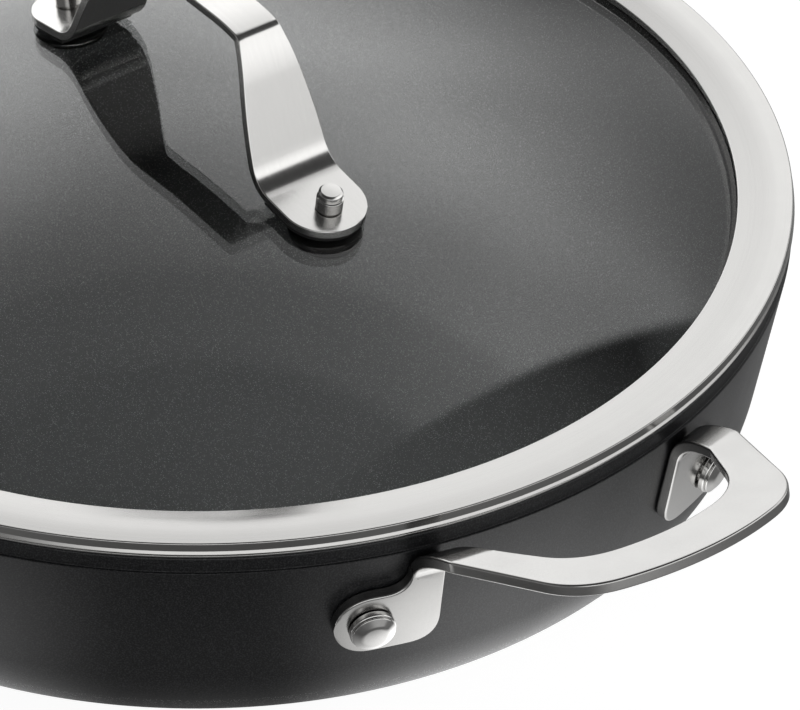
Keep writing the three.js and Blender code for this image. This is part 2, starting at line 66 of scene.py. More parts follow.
# Pan body: forged from one aluminium disc and turned on a lathe, with a narrow rim band set back
# above a ledge. The outside is hard-anodised to a dark satin; the inside is sprayed with a black
# non-stick coat full of flecks.
MM = 0.001
PAN_HEIGHT = 62.4
LEDGE_RADIUS = 141.5
WALL_TAPER = math.radians(10.5)
WALL = 3.6
FLOOR = 5
CORNER_RADIUS = 29.1
RIM_BAND_HEIGHT = 4
RIM_BAND_STEP = 0.6
RIM_ROUND = 0.7
LEDGE_ROUND = 0.25
RECESS_RADIUS = 85.3
RECESS_DEPTH = 0.8
EDGE_ROUND = 0.2
FINE_ROUND = 0.1
UNDERSIDE_MESH_RADIUS = 100
WALL_MESH_HEIGHT = 40
FLOOR_MESH_RADIUS = 60
PAN_STEPS = 256
CORNER_STEPS = 28
ROUND_STEPS = 6
SMOOTH_BELOW = math.radians(24)
NOISE_RANGE = (0.3, 0.7)
ANODISED = (0.004, 0.0042, 0.005, 1)
ANODISED_GRAIN = (0.034, 0.0345, 0.036, 1)
ANODISED_ROUGHNESS = (0.36, 0.42)
COAT = (0.005, 0.0054, 0.0062, 1)
FLECK = (0.58, 0.58, 0.57, 1)
FLECK_EDGE = (0.18, 0.38)
FLECK_CHANCE = (0.35, 1)
COAT_ROUGHNESS = (0.42, 0.25)

ledge_height = PAN_HEIGHT - RIM_BAND_HEIGHT


def wall_radius(height):
    return LEDGE_RADIUS + (height - ledge_height) * math.tan(WALL_TAPER)


def inner_wall_radius(height):
    return wall_radius(height) - WALL / math.cos(WALL_TAPER)


def rounded(corners, closed=False):
    """A profile through corners of (radius, height, rounding), in millimetres."""
    profile = []
    for i, (radius, height, rounding) in enumerate(corners):
        here = Vector((radius, height))
        if not rounding or (not closed and i in (0, len(corners) - 1)):
            profile.append(here)
            continue
        back = Vector(corners[i - 1][:2]) - here
        on = Vector(corners[(i + 1) % len(corners)][:2]) - here
        reach = rounding / math.tan(back.angle(on) / 2)
        reach = min(reach, back.length / 2, on.length / 2)
        start = here + back.normalized() * reach
        end = here + on.normalized() * reach
        for k in range(ROUND_STEPS + 1):
            t = k / ROUND_STEPS
            profile.append(start.lerp(here, t).lerp(here.lerp(end, t), t))
    return profile


def turned(profile, steps, closed=False):
    """A profile of radius and height, in millimetres, turned about Z into a mesh in metres."""
    made = bmesh.new()
    rings = []
    for p in profile:
        count = steps if p.x > 0 else 1
        turns = [2 * math.pi * k / steps for k in range(count)]
        ring = [Vector((p.x * math.cos(a), p.x * math.sin(a), p.y)) for a in turns]
        rings.append([made.verts.new(corner * MM) for corner in ring])
    following = rings[1:] + rings[:1] if closed else rings[1:]
    for one, other in zip(rings, following):
        for k in range(steps):
            corners = [one[k % len(one)], one[(k + 1) % len(one)]]
            corners += [other[(k + 1) % len(other)], other[k % len(other)]]
            made.faces.new(dict.fromkeys(corners))
    return made


def bowl_corner(radius_at, floor_height, radius):
    """The bend between floor and wall, from the floor on."""
    middle = floor_height + radius
    centre = radius_at(middle) - radius / math.cos(WALL_TAPER)
    first, last = -math.pi / 2, -WALL_TAPER
    turns = [first + (last - first) * k / CORNER_STEPS for k in range(CORNER_STEPS + 1)]
    return [Vector((centre + radius * math.cos(a), middle + radius * math.sin(a))) for a in turns]


def shown(name, made, materials, body, node, place=None):
    """Makes a piece of a mesh, sets it in place, and lets it ride and stand for its CAD node."""
    bmesh.ops.recalc_face_normals(made, faces=made.faces)
    if place:
        made.transform(place)
    mesh = bpy.data.meshes.new(name)
    made.to_mesh(mesh)
    made.free()
    for finish in materials:
        mesh.materials.append(finish)
    mesh.shade_smooth()
    mesh.set_sharp_from_angle(angle=SMOOTH_BELOW)
    piece = bpy.data.objects.new(name, mesh)
    bpy.context.scene.collection.objects.link(piece)
    even = piece.modifiers.new("even", "WEIGHTED_NORMAL")
    even.keep_sharp = True
    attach(piece, body)
    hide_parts(node)


def surface_of(name, **sockets):
    """A new material, its node tree and its shader, with the sockets set that are given by name."""
    finish = bpy.data.materials.new(name)
    finish.use_nodes = True
    shader = finish.node_tree.nodes["Principled BSDF"]
    for socket, value in sockets.items():
        shader.inputs[socket.replace("_", " ")].default_value = value
    return finish, finish.node_tree, shader


def wire(tree, kind, links=None, **settings):
    """A new node of a kind, with its settings, and with links or values for its inputs."""
    made = tree.nodes.new("ShaderNode" + kind)
    for key, value in settings.items():
        setattr(made, key, value)
    for socket, value in (links or {}).items():
        if isinstance(value, bpy.types.NodeSocket):
            tree.links.new(value, made.inputs[socket])
        else:
            made.inputs[socket].default_value = value
    return made


def noise(tree, place, scale, detail):
    """A soft noise at a place, of a scale and a detail."""
    return wire(tree, "TexNoise", {"Vector": place, "Scale": scale, "Detail": detail}).outputs["Fac"]


def graded(tree, value, given, wanted):
    """Maps a value from a given range to a wanted one, with soft ends."""
    links = {0: value, 1: given[0], 2: given[1], 3: wanted[0], 4: wanted[1]}
    return wire(tree, "MapRange", links, interpolation_type="SMOOTHSTEP").outputs[0]


def mixed(tree, share, one, other):
    """A colour between two, by a share."""
    return wire(tree, "Mix", {0: share, 6: one, 7: other}, data_type="RGBA").outputs[2]


def product(tree, *factors):
    """The product of values or sockets."""
    made = factors[0]
    for factor in factors[1:]:
        made = wire(tree, "Math", {0: made, 1: factor}, operation="MULTIPLY").outputs[0]
    return made


def anodised_finish():
    """Fine grain in colour and surface, and a gloss that varies a little."""
    finish, tree, shader = surface_of("anodised", Specular_IOR_Level=0.38)
    place = wire(tree, "TexCoord").outputs["Object"]
    grain = noise(tree, place, scale=2600, detail=2)
    cloud = noise(tree, place, scale=30, detail=3)
    colour = mixed(tree, graded(tree, grain, (0.4, 0.75), (0, 1)), ANODISED, ANODISED_GRAIN)
    tree.links.new(colour, shader.inputs["Base Color"])
    tree.links.new(graded(tree, cloud, NOISE_RANGE, ANODISED_ROUGHNESS), shader.inputs["Roughness"])
    bump = wire(tree, "Bump", {"Height": grain, "Strength": 0.3, "Distance": 0.0001})
    tree.links.new(bump.outputs[0], shader.inputs["Normal"])
    return finish


def coated_finish():
    """Black with a fleck in most cells of a fine pattern, some bright and some faint."""
    finish, tree, shader = surface_of("non_stick", Specular_IOR_Level=0.5)
    place = wire(tree, "TexCoord").outputs["Object"]
    cells = wire(tree, "TexVoronoi", {"Vector": place, "Scale": 2900})
    near = graded(tree, cells.outputs["Distance"], FLECK_EDGE, (1, 0))
    chance = wire(tree, "SeparateColor", {0: cells.outputs["Color"]}).outputs[0]
    fleck = product(tree, near, graded(tree, chance, FLECK_CHANCE, (0, 1)))
    tree.links.new(mixed(tree, fleck, COAT, FLECK), shader.inputs["Base Color"])
    tree.links.new(graded(tree, fleck, (0, 1), COAT_ROUGHNESS), shader.inputs["Roughness"])
    return finish


band_radius = LEDGE_RADIUS - RIM_BAND_STEP
mouth_radius = inner_wall_radius(PAN_HEIGHT)
pan_profile = rounded([
    (0, RECESS_DEPTH, 0),
    (RECESS_RADIUS, RECESS_DEPTH, FINE_ROUND),
    (RECESS_RADIUS, 0, EDGE_ROUND),
    (UNDERSIDE_MESH_RADIUS, 0, 0),
])
pan_profile += bowl_corner(wall_radius, 0, CORNER_RADIUS)
pan_profile += rounded([
    (wall_radius(WALL_MESH_HEIGHT), WALL_MESH_HEIGHT, 0),
    (LEDGE_RADIUS, ledge_height, LEDGE_ROUND),
    (band_radius, ledge_height + RIM_BAND_STEP / 4, LEDGE_ROUND),
    (band_radius, PAN_HEIGHT, RIM_ROUND),
    (mouth_radius, PAN_HEIGHT, RIM_ROUND),
    (inner_wall_radius(WALL_MESH_HEIGHT), WALL_MESH_HEIGHT, 0),
])
pan_profile += reversed(bowl_corner(inner_wall_radius, FLOOR, CORNER_RADIUS - WALL))
pan_profile += [Vector((FLOOR_MESH_RADIUS, FLOOR)), Vector((0, FLOOR))]

pan = turned(pan_profile, PAN_STEPS)
for face in pan.faces:
    middle = face.calc_center_median() / MM
    reach = math.hypot(middle.x, middle.y)
    face.material_index = int(middle.z > FLOOR / 2 and reach < wall_radius(middle.z) - WALL / 2)
shown("pan_shell", pan, [anodised_finish(), coated_finish()], "pan", "pan_body")


# Base disc: a thin magnetic steel disc, pressed flush into the underside and faced on a lathe.
# The facing leaves fine rings, and a few wider grooves keep it flat when it is hot.
DISC_RADIUS = 85
GROOVE_RADII = (22, 42, 62)
GROOVE_HALF = 0.8
GROOVE_DEPTH = 0.25
STEEL_HUE = Vector((1, 0.99, 0.97))
STEEL_SHADE = 0.97
BRUSHED_SPREAD = (0.92, 1.1)


def steel_tint(tree, share, tone):
    """The colour of steel of a tone, a little darker where the share is low."""
    bright = STEEL_HUE * tone
    return mixed(tree, share, (*bright * STEEL_SHADE, 1), (*bright, 1))


def brushed_finish(name, tone, roughness, round_z=False, along=(1, 1, 1)):
    """Steel with fine lines: round the Z axis, or along the directions whose scale is small."""
    finish, tree, shader = surface_of(name, Metallic=1)
    place = wire(tree, "TexCoord").outputs["Object"]
    if round_z:
        parts = wire(tree, "SeparateXYZ", {0: place})
        flat = wire(tree, "CombineXYZ", {0: parts.outputs[0], 1: parts.outputs[1]}).outputs[0]
        reach = wire(tree, "VectorMath", {0: flat}, operation="LENGTH").outputs["Value"]
        place = wire(tree, "CombineXYZ", {0: reach, 2: parts.outputs[2]}).outputs[0]
    lines_at = wire(tree, "Mapping", {"Vector": place, "Scale": along}).outputs[0]
    lines = noise(tree, lines_at, scale=2200, detail=3)
    cloud = wire(tree, "TexNoise", {"Scale": 40, "Detail": 2}).outputs["Fac"]
    colour = steel_tint(tree, graded(tree, lines, NOISE_RANGE, (0, 1)), tone)
    tree.links.new(colour, shader.inputs["Base Color"])
    spread = [roughness * share for share in BRUSHED_SPREAD]
    gloss = graded(tree, product(tree, lines, cloud), (0.1, 0.4), spread)
    tree.links.new(gloss, shader.inputs["Roughness"])
    bump = wire(tree, "Bump", {"Height": lines, "Strength": 0.02, "Distance": 0.00005})
    tree.links.new(bump.outputs[0], shader.inputs["Normal"])
    return finish


disc_profile = [(0, RECESS_DEPTH, 0), (DISC_RADIUS, RECESS_DEPTH, FINE_ROUND), (DISC_RADIUS, 0, EDGE_ROUND)]
for radius in reversed(GROOVE_RADII):
    disc_profile += [
        (radius + GROOVE_HALF, 0, FINE_ROUND),
        (radius, GROOVE_DEPTH, EDGE_ROUND),
        (radius - GROOVE_HALF, 0, FINE_ROUND),
    ]
disc_profile += [(0, 0, 0)]
disc = turned(rounded(disc_profile), PAN_STEPS)
faced_steel = brushed_finish("base_steel", tone=0.5, roughness=0.35, round_z=True)
shown("pressed_disc", disc, [faced_steel], "pan", "base_disc")


# Side handles: each is stamped from one steel plate, then folded: a tilted loop, two arms and two tabs.
# The tabs are pressed to the wall's curve. The plate is ground to an even satin, with its edges rounded.
PLATE = 3
PLATE_EDGE = 0.6
HANDLE_REACH = 49.5
HANDLE_BAR = 14
HANDLE_BOW_RADIUS = 74
HANDLE_TILT = math.radians(14)
FOLD_REACH = 15.2
FOLD_RISE = 2.75
FOLD_BEND = 0.8
LEG_OUTER_HALF_WIDTH = 41.7
LEG_INNER_HALF_WIDTH = 31.4
LEG_OUTER_SPLAY = math.radians(16.5)
LEG_INNER_SPLAY = math.radians(22.8)
BAR_OUTER_HALF = 22
BAR_INNER_HALF = 13
KNEE_DROP = 3.6
ARM_STRAIGHT = 0.85
KNEE_EASE = 0.5
TAB_TOP_DROP = 10.4
TAB_NEAR_EDGE = 33.4
TAB_STRIP = 8
TAB_CORNER = 7
TAB_FILLET = 6
TAB_LOBE_RADIUS = 8.8
RIVET_HALF_SPACING = 50.2
RIVET_DROP = 22.9
SEAT_GAP = 0.3
LAST_TIP = 0.03
ROW_STEPS = 6
EDGE_STEPS = 5
BAR_STEPS = 14
LOOP_CORNER_STEPS = 18
LEG_STEPS = 6
FOLD_STEPS = 5
ARM_STEPS = 24
STRIP_STEPS = 6
TAB_BEND_STEPS = 12
TAB_SIDE_STEPS = 4
LOBE_STEPS = 20
SATIN_SPREAD = (0.85, 1.2)

rivet_height = PAN_HEIGHT - RIVET_DROP
tab_offset = SEAT_GAP + PLATE / 2
tab_radius = wall_radius(rivet_height) + tab_offset


def bent(start, corner, end, steps):
    """Points on the curve that leaves start for corner and comes from corner into end."""
    shares = [k / steps for k in range(steps + 1)]
    return [start.lerp(corner, t).lerp(corner.lerp(end, t), t) for t in shares]


def arc(centre, radius, first, last, steps):
    """Points round a centre, from one turn to another."""
    turns = [first + (last - first) * k / steps for k in range(steps + 1)]
    return [centre + Vector((math.cos(a), math.sin(a), 0)) * radius for a in turns]


def lofted(stations, thickness, edge):
    """A plate through stations, each a row of points across its middle surface."""
    made = bmesh.new()
    last = len(stations) - 1
    rings = []
    for i, row in enumerate(stations):
        ways = [q - p for p, q in zip(stations[max(i - 1, 0)], stations[min(i + 1, last)])]
        spans = zip(row[:1] + row[:-1], row[1:] + row[-1:])
        across = [(q - p).normalized() for p, q in spans]
        normals = [a.cross(way).normalized() for a, way in zip(across, ways)]
        rounding = min(edge, (row[-1] - row[0]).length / 4)
        face = [(p, n * thickness / 2) for p, n in zip(row, normals)][1:-1]
        ring = []
        for quarter, (end, up) in enumerate([(-1, 1), (0, 1), (0, -1), (-1, -1)]):
            outwards = across[end] if end else -across[end]
            middle = row[end] - outwards * rounding + normals[end] * up * (thickness / 2 - rounding)
            first = quarter * math.pi / 2
            for p in arc(Vector(), rounding, first, first + math.pi / 2, EDGE_STEPS):
                ring.append(middle + across[end] * p.x + normals[end] * p.y)
            if quarter == 0:
                ring += [p + lift for p, lift in reversed(face)]
            if quarter == 2:
                ring += [p - lift for p, lift in face]
        rings.append([made.verts.new(p * MM) for p in ring])
    count = len(rings[0])
    for one, other in zip(rings, rings[1:]):
        for k in range(count):
            made.faces.new((one[k], one[(k + 1) % count], other[(k + 1) % count], other[k]))
    for end in (rings[0], rings[-1]):
        made.faces.new(end)
    return made


def row_across(one, other):
    """Points from one edge of a plate to the other."""
    return [one.lerp(other, k / ROW_STEPS) for k in range(ROW_STEPS + 1)]


def both_halves(stations, mirror):
    """A half's stations after their mirrored copies."""
    return [[p * mirror for p in row] for row in stations[:0:-1]] + stations


def on_tab(along, height):
    """A point of the tab's middle surface, along the wall from the handle's middle and at a height."""
    radius = wall_radius(height) + tab_offset / math.cos(WALL_TAPER)
    turn = along / tab_radius
    return Vector((radius * math.cos(turn), radius * math.sin(turn), height))


def loop_edge(bow_radius, bar_half, fold, splay):
    """One edge of the loop in plan: the bowed bar, a round corner, and the leg to the fold."""
    centre = Vector((LEDGE_RADIUS + HANDLE_REACH - HANDLE_BOW_RADIUS, 0, 0))
    turn = math.asin(bar_half / bow_radius)
    bar = arc(centre, bow_radius, 0, turn, BAR_STEPS)
    outwards = Vector((math.cos(splay), -math.sin(splay), 0))
    onwards = Vector((-math.sin(turn), math.cos(turn), 0))
    corner = intersect_line_line(bar[-1], bar[-1] + onwards, fold, fold + outwards)[0]
    leg_start = corner - outwards * (corner - bar[-1]).length
    leg = [leg_start.lerp(fold, k / LEG_STEPS) for k in range(1, LEG_STEPS + 1)]
    return bar[:-1] + bent(bar[-1], corner, leg_start, LOOP_CORNER_STEPS) + leg


def tab_edge(top, bend, rounding, lobe_side):
    """One edge of the tab, as distance along the wall and height: the strip, a bend, the rivet's lobe."""
    before = bend + Vector((0, rounding, 0))
    after = bend + Vector((rounding, 0, 0))
    lobe = Vector((RIVET_HALF_SPACING, rivet_height, 0))
    lobe_start = lobe + Vector((0, TAB_LOBE_RADIUS * lobe_side, 0))
    quarter = math.pi / 2 * lobe_side
    edge = [top.lerp(before, k / STRIP_STEPS) for k in range(STRIP_STEPS)]
    edge += bent(before, bend, after, TAB_BEND_STEPS)
    edge += [after.lerp(lobe_start, k / TAB_SIDE_STEPS) for k in range(1, TAB_SIDE_STEPS)]
    return edge + arc(lobe, TAB_LOBE_RADIUS, quarter, quarter * LAST_TIP, LOBE_STEPS)


def arm_edge(fold, knee, top):
    """One edge of an arm, from the fold over the knee to the tab, without its ends."""
    before, after = fold.lerp(knee, ARM_STRAIGHT), top.lerp(knee, KNEE_EASE)
    shares = [k / ARM_STEPS for k in range(1, ARM_STEPS)]
    return [
        fold * (1 - t) ** 3 + before * 3 * t * (1 - t) ** 2 + after * 3 * t * t * (1 - t) + top * t ** 3
        for t in shares
    ]


def handle_stations():
    """Half of the plate, from the middle of the bar to the end of a tab."""
    fold_radius = LEDGE_RADIUS + FOLD_REACH
    folds = [
        Vector((math.sqrt(fold_radius ** 2 - spread ** 2), spread, 0))
        for spread in (LEG_INNER_HALF_WIDTH, LEG_OUTER_HALF_WIDTH)
    ]
    fold_height = PAN_HEIGHT + FOLD_RISE - PLATE / 2 / math.cos(HANDLE_TILT)
    fold_middle = (folds[0].x + folds[1].x) / 2
    edges = [
        loop_edge(HANDLE_BOW_RADIUS - HANDLE_BAR, BAR_INNER_HALF, folds[0], LEG_INNER_SPLAY),
        loop_edge(HANDLE_BOW_RADIUS, BAR_OUTER_HALF, folds[1], LEG_OUTER_SPLAY),
    ]
    for edge in edges:
        for p in edge:
            p.z = fold_height + (p.x - fold_middle) * math.tan(HANDLE_TILT)
    tab_top = PAN_HEIGHT - TAB_TOP_DROP
    spreads = (TAB_NEAR_EDGE, TAB_NEAR_EDGE + TAB_STRIP)
    bends = ((TAB_CORNER, -1), (TAB_FILLET, 1))
    tabs = []
    for edge, spread, (rounding, lobe_side) in zip(edges, spreads, bends):
        bend = Vector((spread, rivet_height + TAB_LOBE_RADIUS * lobe_side, 0))
        tabs.append(tab_edge(Vector((spread, tab_top, 0)), bend, rounding, lobe_side))
        fold = edge.pop()
        arm = arm_edge(fold, on_tab(spread, PAN_HEIGHT - KNEE_DROP), on_tab(spread, tab_top))
        bend_in = fold + (edge[-1] - fold).normalized() * FOLD_BEND
        bend_out = fold + (arm[0] - fold).normalized() * FOLD_BEND
        edge += bent(bend_in, fold, bend_out, FOLD_STEPS)
        edge += [p for p in arm if (p - fold).length > 2 * FOLD_BEND]
    rows = [row_across(*pair) for pair in zip(*edges)]
    return rows + [[on_tab(p.x, p.y) for p in row_across(*pair)] for pair in zip(*tabs)]


def satin_finish(name, tone, roughness):
    """Steel ground to an even satin."""
    finish, tree, shader = surface_of(name, Metallic=1)
    place = wire(tree, "TexCoord").outputs["Object"]
    grain = noise(tree, place, scale=1800, detail=3)
    cloud = noise(tree, place, scale=55, detail=2)
    colour = steel_tint(tree, graded(tree, grain, NOISE_RANGE, (0, 1)), tone)
    tree.links.new(colour, shader.inputs["Base Color"])
    spread = [roughness * share for share in SATIN_SPREAD]
    tree.links.new(graded(tree, cloud, NOISE_RANGE, spread), shader.inputs["Roughness"])
    return finish


def turned_by(angle):
    return Matrix.Rotation(angle, 4, "Z")


satin = satin_finish("satin_steel", tone=0.44, roughness=0.2)
handle_half = handle_stations()
for side, turn in (("right", 0), ("left", math.pi)):
    plate = lofted(both_halves(handle_half, Vector((1, -1, 1))), PLATE, PLATE_EDGE)
    shown("handle_" + side, plate, [satin], "pan", "side_handle_" + side, turned_by(turn))


# Side rivets: thick turned studs, pushed through tab and wall and closed by a flat head inside the pan.
# Outside they show a collar, a groove and a cap with a slightly domed face.
RIVET_SHANK_RADIUS = 4
RIVET_HEAD_RADIUS = 8
RIVET_HEAD = 1.8
RIVET_HEAD_GAP = 0.5
RIVET_HEAD_ROUND = 2.5
RIVET_HEAD_EDGE_ROUND = 0.6
HEAD_FLAT_SHARE = 0.65
HEAD_EDGE_SHARE = 0.4
RIVET_STUD_RADIUS = 5.5
RIVET_STUD_HEIGHT = 3.5
RIVET_STUD_ROUND = 0.3
RIVET_COLLAR = 1.5
RIVET_COLLAR_ROUND = 0.5
RIVET_GROOVE = 0.36
RIVET_CROWN = 1.3
RIVET_CROWN_ROUND = 3
CAP_ROUND = 0.8
CAP_FLAT_SHARE = 0.6
CAP_FLAT_DROP = 0.26
RIVET_STEPS = 64

head_top = -WALL - RIVET_HEAD_GAP
stud_base = tab_offset + PLATE / 2 + SEAT_GAP
stud_top = stud_base + RIVET_STUD_HEIGHT
shoulder = stud_base + RIVET_COLLAR
cap_radius = RIVET_STUD_RADIUS - RIVET_GROOVE
rivet_profile = rounded([
    (0, head_top - RIVET_HEAD, 0),
    (RIVET_HEAD_RADIUS * HEAD_FLAT_SHARE, head_top - RIVET_HEAD, RIVET_HEAD_ROUND),
    (RIVET_HEAD_RADIUS, head_top - RIVET_HEAD * HEAD_EDGE_SHARE, RIVET_HEAD_EDGE_ROUND),
    (RIVET_HEAD_RADIUS, head_top, EDGE_ROUND),
    (RIVET_SHANK_RADIUS, head_top, 0),
    (RIVET_SHANK_RADIUS, stud_base, 0),
    (RIVET_STUD_RADIUS, stud_base, RIVET_STUD_ROUND),
    (RIVET_STUD_RADIUS, shoulder, RIVET_COLLAR_ROUND),
    (cap_radius - RIVET_GROOVE, shoulder + RIVET_GROOVE / 2, FINE_ROUND),
    (cap_radius, shoulder + RIVET_GROOVE, EDGE_ROUND),
    (cap_radius, stud_top - RIVET_CROWN, CAP_ROUND),
    (cap_radius * CAP_FLAT_SHARE, stud_top - CAP_FLAT_DROP, RIVET_CROWN_ROUND),
    (0, stud_top, 0),
])
polished = satin_finish("polished_steel", tone=0.6, roughness=0.12)
rivet_turn = RIVET_HALF_SPACING / tab_radius
rivet_turns = {
    "right_front": -rivet_turn,
    "right_back": rivet_turn,
    "left_back": math.pi - rivet_turn,
    "left_front": math.pi + rivet_turn,
}
on_wall = Matrix.Translation(Vector((wall_radius(rivet_height), 0, rivet_height)) * MM)
out_of_wall = Matrix.Rotation(math.pi / 2 + WALL_TAPER, 4, "Y")
for where, turn in rivet_turns.items():
    rivet = turned(rivet_profile, RIVET_STEPS)
    rivet_place = turned_by(turn) @ on_wall @ out_of_wall
    shown("rivet_" + where, rivet, [polished], "pan", "side_rivet_" + where, rivet_place)


# Lid glass: a disc of clear tempered glass, sagged over a mould into a shallow dome.
# Its edge sits in the steel rim. Feet above and washers below cover the places where the studs pass it.
RING_HEIGHT = 4.6
RING_OVERHANG = 0.5
RING_WIDTH = 13.7
RING_SHEET = 0.8
RING_LIP_FALL = 0.6
RING_LIP_DEPTH = 1.6
GLASS = 4
GLASS_DOME_RADIUS = 340
GLASS_UNDER_RING = 6
DOME_STEPS = 48
GLASS_TINT = (0.93, 0.95, 0.945, 1)
GLASS_ROUGHNESS = (0, 0.004)

ring_top = PAN_HEIGHT + RING_HEIGHT
ring_outer = LEDGE_RADIUS + RING_OVERHANG
ring_inner = ring_outer - RING_WIDTH
lip_bottom = ring_top - RING_LIP_FALL - RING_LIP_DEPTH
lip_middle = ring_inner + RING_SHEET / 2
dome_centre = lip_bottom - SEAT_GAP - math.sqrt(GLASS_DOME_RADIUS ** 2 - lip_middle ** 2)


def glass_height(radius, sphere):
    return dome_centre + math.sqrt(sphere ** 2 - radius ** 2)


def clear_finish():
    """Clear glass with a faint film on it."""
    finish, tree, shader = surface_of("clear_glass", Base_Color=GLASS_TINT, Transmission_Weight=1, IOR=1.5)
    film = noise(tree, wire(tree, "TexCoord").outputs["Object"], scale=25, detail=2)
    tree.links.new(graded(tree, film, (0.35, 0.65), GLASS_ROUGHNESS), shader.inputs["Roughness"])
    return finish


edge_turn = math.asin((ring_inner + GLASS_UNDER_RING) / GLASS_DOME_RADIUS)
dome_turns = [edge_turn * k / DOME_STEPS for k in range(DOME_STEPS + 1)]
dome = [
    Vector((sphere * math.sin(a), dome_centre + sphere * math.cos(a)))
    for sphere, turns in ((GLASS_DOME_RADIUS - GLASS, dome_turns), (GLASS_DOME_RADIUS, dome_turns[::-1]))
    for a in turns
]
shown("glass", turned(dome, PAN_STEPS), [clear_finish()], "lid", "lid_glass")


# Lid rim: a wide ring spun from stainless sheet. It laps over the glass with a small rolled lip,
# turns down over a small skirt and a groove, sits on the pan's rim and drops into the pan with a plug
# flange. A second flange holds the glass from below.
RING_CROWN = 0.5
RING_CROWN_ROUND = 60
RING_EDGE_ROUND = 0.4
RING_WALL = 2.1
RING_SKIRT = 0.75
RING_SKIRT_ROUND = 0.15
RING_UNDERCUT = 0.45
RING_GROOVE = 2
RING_GROOVE_ROUND = 0.3
RING_FOOT_INSET = 1.3
RING_FOOT_ROUND = 0.25
PLUG_DEPTH = 7.9
PLUG_CLEARANCE = 0.6
PLUG_ROUND = 0.6
PLUG_INNER_ROUND = 0.4
GLASS_FLANGE = 4

lip_top = ring_top - RING_LIP_FALL
skirt_top = ring_top - RING_WALL
skirt_bottom = skirt_top - RING_SKIRT
ring_side = ring_outer - RING_UNDERCUT
ring_middle = (ring_inner + ring_outer) / 2
ring_foot = ring_outer - RING_FOOT_INSET
foot_step = PAN_HEIGHT + RING_SHEET / 2
plug_bottom = PAN_HEIGHT - PLUG_DEPTH
plug = inner_wall_radius(plug_bottom) - PLUG_CLEARANCE
plug_inside = plug - 2 * RING_SHEET
flange_tip = plug_inside - GLASS_FLANGE


def under_glass(radius):
    return glass_height(radius, GLASS_DOME_RADIUS - GLASS) - SEAT_GAP


ring_profile = rounded([
    (ring_inner, lip_bottom, EDGE_ROUND),
    (ring_inner + RING_SHEET, lip_bottom, EDGE_ROUND),
    (ring_inner + RING_SHEET, lip_top - RING_SHEET, 0),
    (ring_outer - RING_SHEET, ring_top - RING_SHEET, 0),
    (ring_outer - RING_GROOVE - RING_SHEET, PAN_HEIGHT + RING_SHEET, 0),
    (plug_inside, PAN_HEIGHT + RING_SHEET, 0),
    (plug_inside, under_glass(plug_inside), EDGE_ROUND),
    (flange_tip, under_glass(flange_tip), EDGE_ROUND),
    (flange_tip, under_glass(flange_tip) - RING_SHEET, EDGE_ROUND),
    (plug_inside, under_glass(plug_inside) - RING_SHEET, 0),
    (plug_inside, plug_bottom, PLUG_INNER_ROUND),
    (plug, plug_bottom, PLUG_ROUND),
    (plug, PAN_HEIGHT, EDGE_ROUND),
    (ring_foot, PAN_HEIGHT, RING_FOOT_ROUND),
    (ring_foot, foot_step, EDGE_ROUND),
    (ring_outer - RING_GROOVE, (foot_step + skirt_bottom) / 2, RING_GROOVE_ROUND),
    (ring_outer, skirt_bottom, RING_SKIRT_ROUND),
    (ring_side, skirt_top, EDGE_ROUND),
    (ring_side, ring_top, RING_EDGE_ROUND),
    (ring_middle, ring_top + RING_CROWN - RING_LIP_FALL / 2, RING_CROWN_ROUND),
    (ring_inner, lip_top, RING_EDGE_ROUND),
], closed=True)
spun = brushed_finish("spun_steel", tone=0.455, roughness=0.2, round_z=True)
shown("rim", turned(ring_profile, PAN_STEPS, closed=True), [spun], "lid", "lid_rim")


# Lid pads, washers and backings: black silicone under the strap's feet and under the glass, with
# steel washers below. They are stamped from sheet and are clamped by the studs, so that no metal
# touches the glass. The lid lies on the pan turned by one degree, with all that it carries.
LID_TURN = math.radians(-1)
STUD_SPACING = 103.6
STRAP = 2.2
STRAP_FOOT = 14.7
STRAP_TIP_SETBACK = 2.4
STRAP_FOOT_BEND = 3.5
STRAP_FOOT_WIDTH = 21
SHANK_RADIUS = 2.6
PAD = 0.8
PAD_INSET = 0.4
PAD_BEVEL = 0.16
PAD_BEVEL_STEPS = 3
PAD_TIP_STEPS = 32
WASHER = 1
WASHER_RADIUS = 9
BACKING = 1.2
BACKING_RADIUS = 8
LEVEL_WITHIN = 0.01
SILICONE = (0.006, 0.006, 0.006, 1)
SILICONE_GRAIN = (0.014, 0.014, 0.014, 1)
SILICONE_ROUGHNESS = (0.5, 0.65)

stud_reach = STUD_SPACING / 2
stud_height = glass_height(stud_reach, GLASS_DOME_RADIUS)
glass_slope = math.asin(stud_reach / GLASS_DOME_RADIUS)
shank_hole = SHANK_RADIUS + SEAT_GAP
foot_bottom = PAD + 2 * SEAT_GAP
foot_top = foot_bottom + STRAP
washer_top = -GLASS - 2 * SEAT_GAP
backing_top = washer_top - WASHER - SEAT_GAP
stud_turns = {"right": LID_TURN, "left": math.pi + LID_TURN}


def on_glass(turn):
    """Where a stud stands, square to the glass."""
    foot_place = Matrix.Translation(Vector((stud_reach, 0, stud_height)) * MM)
    return turned_by(turn) @ foot_place @ Matrix.Rotation(glass_slope, 4, "Y")


def shank_ring(radius, top, thickness):
    """A flat ring round the shank."""
    rounding = thickness / 4
    return turned(rounded([
        (shank_hole, top - thickness, rounding),
        (radius, top - thickness, rounding),
        (radius, top, rounding),
        (shank_hole, top, rounding),
    ], closed=True), RIVET_STEPS, closed=True)


